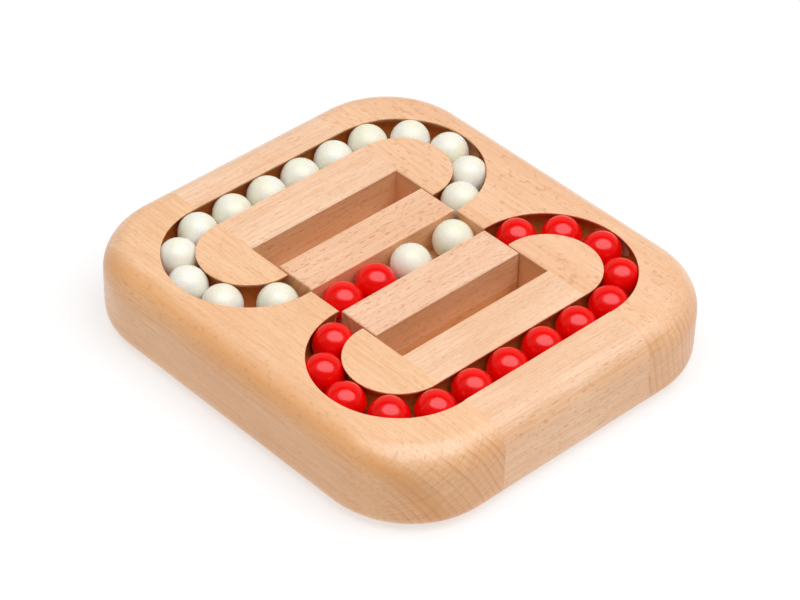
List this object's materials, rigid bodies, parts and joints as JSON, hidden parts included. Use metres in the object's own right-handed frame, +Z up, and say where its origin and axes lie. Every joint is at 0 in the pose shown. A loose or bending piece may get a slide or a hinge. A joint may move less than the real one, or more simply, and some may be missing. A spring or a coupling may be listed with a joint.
{
  "type": "two-loop bead shunting puzzle",
  "caption": "Wooden bead-track puzzle: rounded block with racetrack lanes, a sliding shuttle that opens one loop at a time, and loose red and white beads held in by the lanes' lips.",
  "frame": {"origin": "middle of the underside", "axes": "+X along the shuttle bars, +Y the way the shuttle slides towards the white beads' loop, +Z up out of the lanes"},
  "size_m": [0.1064, 0.1186, 0.0227],
  "materials": {
    "beech_end": "satin clear lacquer, grain across the board",
    "beech_side": "satin clear lacquer, grain along the shuttle bars",
    "beech_shuttle": "sanded, slightly pinker beech",
    "bead_white": "polished ivory white",
    "bead_red": "polished bright red"
  },
  "bodies": {
    "board": {"left_end_board": "beech_end", "right_end_board": "beech_end", "side_board_a": "beech_side", "side_board_b": "beech_side", "centre_floor": "beech_side"},
    "shuttle": {"shuttle_sole": "beech_shuttle", "shuttle_bar_a": "beech_shuttle", "shuttle_bar_b": "beech_shuttle"},
    "bead_white_01": {"bead_white_01": "bead_white"},
    "bead_white_02": {"bead_white_02": "bead_white"},
    "bead_white_03": {"bead_white_03": "bead_white"},
    "bead_white_04": {"bead_white_04": "bead_white"},
    "bead_white_05": {"bead_white_05": "bead_white"},
    "bead_white_06": {"bead_white_06": "bead_white"},
    "bead_white_07": {"bead_white_07": "bead_white"},
    "bead_white_08": {"bead_white_08": "bead_white"},
    "bead_white_09": {"bead_white_09": "bead_white"},
    "bead_white_10": {"bead_white_10": "bead_white"},
    "bead_white_11": {"bead_white_11": "bead_white"},
    "bead_white_12": {"bead_white_12": "bead_white"},
    "bead_white_13": {"bead_white_13": "bead_white"},
    "bead_white_14": {"bead_white_14": "bead_white"},
    "bead_white_15": {"bead_white_15": "bead_white"},
    "bead_white_16": {"bead_white_16": "bead_white"},
    "bead_red_01": {"bead_red_01": "bead_red"},
    "bead_red_02": {"bead_red_02": "bead_red"},
    "bead_red_03": {"bead_red_03": "bead_red"},
    "bead_red_04": {"bead_red_04": "bead_red"},
    "bead_red_05": {"bead_red_05": "bead_red"},
    "bead_red_06": {"bead_red_06": "bead_red"},
    "bead_red_07": {"bead_red_07": "bead_red"},
    "bead_red_08": {"bead_red_08": "bead_red"},
    "bead_red_09": {"bead_red_09": "bead_red"},
    "bead_red_10": {"bead_red_10": "bead_red"},
    "bead_red_11": {"bead_red_11": "bead_red"},
    "bead_red_12": {"bead_red_12": "bead_red"},
    "bead_red_13": {"bead_red_13": "bead_red"},
    "bead_red_14": {"bead_red_14": "bead_red"},
    "bead_red_15": {"bead_red_15": "bead_red"},
    "bead_red_16": {"bead_red_16": "bead_red"}
  },
  "joints": [
    {"name": "shuttle_slide", "type": "slide", "parent": "board", "child": "shuttle", "axis": [0, 1, 0], "range_m": [-0.0088, 0.0088]},
    {"name": "bead_white_01_shift", "type": "hinge", "parent": "board", "child": "bead_white_01", "pos_m": [0.0242, 0.0254, 0.0177], "axis": [0, 0, 1], "range_deg": [-3.8, 3.8]},
    {"name": "bead_white_02_shift", "type": "hinge", "parent": "board", "child": "bead_white_02", "pos_m": [0.0242, 0.0254, 0.0177], "axis": [0, 0, 1], "range_deg": [-3.8, 3.8]},
    {"name": "bead_white_03_shift", "type": "hinge", "parent": "board", "child": "bead_white_03", "pos_m": [0.0242, 0.0254, 0.0177], "axis": [0, 0, 1], "range_deg": [-3.8, 3.8]},
    {"name": "bead_white_04_shift", "type": "hinge", "parent": "board", "child": "bead_white_04", "pos_m": [0.0242, 0.0254, 0.0177], "axis": [0, 0, 1], "range_deg": [-3.8, 3.8]},
    {"name": "bead_white_05_shift", "type": "hinge", "parent": "board", "child": "bead_white_05", "pos_m": [0.0242, 0.0254, 0.0177], "axis": [0, 0, 1], "range_deg": [-3.8, 3.8]},
    {"name": "white_row_shift", "type": "slide", "parent": "board", "child": "bead_white_06", "axis": [-1, 0, 0], "range_m": [-0.0011, 0.0011]},
    {"name": "bead_white_07_shift", "type": "slide", "parent": "board", "child": "bead_white_07", "axis": [-1, 0, 0], "range_m": [-0.0011, 0.0011]},
    {"name": "bead_white_08_shift", "type": "slide", "parent": "board", "child": "bead_white_08", "axis": [-1, 0, 0], "range_m": [-0.0011, 0.0011]},
    {"name": "bead_white_09_shift", "type": "slide", "parent": "board", "child": "bead_white_09", "axis": [-1, 0, 0], "range_m": [-0.0011, 0.0011]},
    {"name": "bead_white_10_shift", "type": "hinge", "parent": "board", "child": "bead_white_10", "pos_m": [-0.0242, 0.0254, 0.0177], "axis": [0, 0, 1], "range_deg": [-3.8, 3.8]},
    {"name": "bead_white_11_shift", "type": "hinge", "parent": "board", "child": "bead_white_11", "pos_m": [-0.0242, 0.0254, 0.0177], "axis": [0, 0, 1], "range_deg": [-3.8, 3.8]},
    {"name": "bead_white_12_shift", "type": "hinge", "parent": "board", "child": "bead_white_12", "pos_m": [-0.0242, 0.0254, 0.0177], "axis": [0, 0, 1], "range_deg": [-3.8, 3.8]},
    {"name": "bead_white_13_shift", "type": "hinge", "parent": "board", "child": "bead_white_13", "pos_m": [-0.0242, 0.0254, 0.0177], "axis": [0, 0, 1], "range_deg": [-3.8, 3.8]},
    {"name": "bead_white_14_shift", "type": "hinge", "parent": "board", "child": "bead_white_14", "pos_m": [-0.0242, 0.0254, 0.0177], "axis": [0, 0, 1], "range_deg": [-3.8, 3.8]},
    {"name": "bead_red_01_shift", "type": "hinge", "parent": "board", "child": "bead_red_01", "pos_m": [-0.0242, -0.0254, 0.0177], "axis": [0, 0, 1], "range_deg": [-3.8, 3.8]},
    {"name": "bead_red_02_shift", "type": "hinge", "parent": "board", "child": "bead_red_02", "pos_m": [-0.0242, -0.0254, 0.0177], "axis": [0, 0, 1], "range_deg": [-3.8, 3.8]},
    {"name": "bead_red_03_shift", "type": "hinge", "parent": "board", "child": "bead_red_03", "pos_m": [-0.0242, -0.0254, 0.0177], "axis": [0, 0, 1], "range_deg": [-3.8, 3.8]},
    {"name": "bead_red_04_shift", "type": "hinge", "parent": "board", "child": "bead_red_04", "pos_m": [-0.0242, -0.0254, 0.0177], "axis": [0, 0, 1], "range_deg": [-3.8, 3.8]},
    {"name": "bead_red_05_shift", "type": "hinge", "parent": "board", "child": "bead_red_05", "pos_m": [-0.0242, -0.0254, 0.0177], "axis": [0, 0, 1], "range_deg": [-3.8, 3.8]},
    {"name": "red_row_shift", "type": "slide", "parent": "board", "child": "bead_red_06", "axis": [1, 0, 0], "range_m": [-0.0011, 0.0011]},
    {"name": "bead_red_07_shift", "type": "slide", "parent": "board", "child": "bead_red_07", "axis": [1, 0, 0], "range_m": [-0.0011, 0.0011]},
    {"name": "bead_red_08_shift", "type": "slide", "parent": "board", "child": "bead_red_08", "axis": [1, 0, 0], "range_m": [-0.0011, 0.0011]},
    {"name": "bead_red_09_shift", "type": "slide", "parent": "board", "child": "bead_red_09", "axis": [1, 0, 0], "range_m": [-0.0011, 0.0011]},
    {"name": "bead_red_10_shift", "type": "hinge", "parent": "board", "child": "bead_red_10", "pos_m": [0.0242, -0.0254, 0.0177], "axis": [0, 0, 1], "range_deg": [-3.8, 3.8]},
    {"name": "bead_red_11_shift", "type": "hinge", "parent": "board", "child": "bead_red_11", "pos_m": [0.0242, -0.0254, 0.0177], "axis": [0, 0, 1], "range_deg": [-3.8, 3.8]},
    {"name": "bead_red_12_shift", "type": "hinge", "parent": "board", "child": "bead_red_12", "pos_m": [0.0242, -0.0254, 0.0177], "axis": [0, 0, 1], "range_deg": [-3.8, 3.8]},
    {"name": "bead_red_13_shift", "type": "hinge", "parent": "board", "child": "bead_red_13", "pos_m": [0.0242, -0.0254, 0.0177], "axis": [0, 0, 1], "range_deg": [-3.8, 3.8]},
    {"name": "bead_red_14_shift", "type": "hinge", "parent": "board", "child": "bead_red_14", "pos_m": [0.0242, -0.0254, 0.0177], "axis": [0, 0, 1], "range_deg": [-3.8, 3.8]},
    {"name": "channel_row_shift", "type": "slide", "parent": "shuttle", "child": "bead_red_15", "axis": [1, 0, 0], "range_m": [-0.0004, 0.0004]},
    {"name": "bead_red_16_shift", "type": "slide", "parent": "shuttle", "child": "bead_red_16", "axis": [1, 0, 0], "range_m": [-0.0004, 0.0004]},
    {"name": "bead_white_15_shift", "type": "slide", "parent": "shuttle", "child": "bead_white_15", "axis": [1, 0, 0], "range_m": [-0.0004, 0.0004]},
    {"name": "bead_white_16_shift", "type": "slide", "parent": "shuttle", "child": "bead_white_16", "axis": [1, 0, 0], "range_m": [-0.0004, 0.0004]}
  ],
  "couplings": [
    {"joint": "bead_white_01_shift", "follows": "white_row_shift", "rad_per_m": 60.242},
    {"joint": "bead_white_02_shift", "follows": "white_row_shift", "rad_per_m": 60.242},
    {"joint": "bead_white_03_shift", "follows": "white_row_shift", "rad_per_m": 60.242},
    {"joint": "bead_white_04_shift", "follows": "white_row_shift", "rad_per_m": 60.242},
    {"joint": "bead_white_05_shift", "follows": "white_row_shift", "rad_per_m": 60.242},
    {"joint": "bead_white_07_shift", "follows": "white_row_shift", "ratio": 1},
    {"joint": "bead_white_08_shift", "follows": "white_row_shift", "ratio": 1},
    {"joint": "bead_white_09_shift", "follows": "white_row_shift", "ratio": 1},
    {"joint": "bead_white_10_shift", "follows": "white_row_shift", "rad_per_m": 60.242},
    {"joint": "bead_white_11_shift", "follows": "white_row_shift", "rad_per_m": 60.242},
    {"joint": "bead_white_12_shift", "follows": "white_row_shift", "rad_per_m": 60.242},
    {"joint": "bead_white_13_shift", "follows": "white_row_shift", "rad_per_m": 60.242},
    {"joint": "bead_white_14_shift", "follows": "white_row_shift", "rad_per_m": 60.242},
    {"joint": "bead_red_01_shift", "follows": "red_row_shift", "rad_per_m": 60.242},
    {"joint": "bead_red_02_shift", "follows": "red_row_shift", "rad_per_m": 60.242},
    {"joint": "bead_red_03_shift", "follows": "red_row_shift", "rad_per_m": 60.242},
    {"joint": "bead_red_04_shift", "follows": "red_row_shift", "rad_per_m": 60.242},
    {"joint": "bead_red_05_shift", "follows": "red_row_shift", "rad_per_m": 60.242},
    {"joint": "bead_red_07_shift", "follows": "red_row_shift", "ratio": 1},
    {"joint": "bead_red_08_shift", "follows": "red_row_shift", "ratio": 1},
    {"joint": "bead_red_09_shift", "follows": "red_row_shift", "ratio": 1},
    {"joint": "bead_red_10_shift", "follows": "red_row_shift", "rad_per_m": 60.242},
    {"joint": "bead_red_11_shift", "follows": "red_row_shift", "rad_per_m": 60.242},
    {"joint": "bead_red_12_shift", "follows": "red_row_shift", "rad_per_m": 60.242},
    {"joint": "bead_red_13_shift", "follows": "red_row_shift", "rad_per_m": 60.242},
    {"joint": "bead_red_14_shift", "follows": "red_row_shift", "rad_per_m": 60.242},
    {"joint": "bead_red_16_shift", "follows": "channel_row_shift", "ratio": 1},
    {"joint": "bead_white_15_shift", "follows": "channel_row_shift", "ratio": 1},
    {"joint": "bead_white_16_shift", "follows": "channel_row_shift", "ratio": 1}
  ]
}
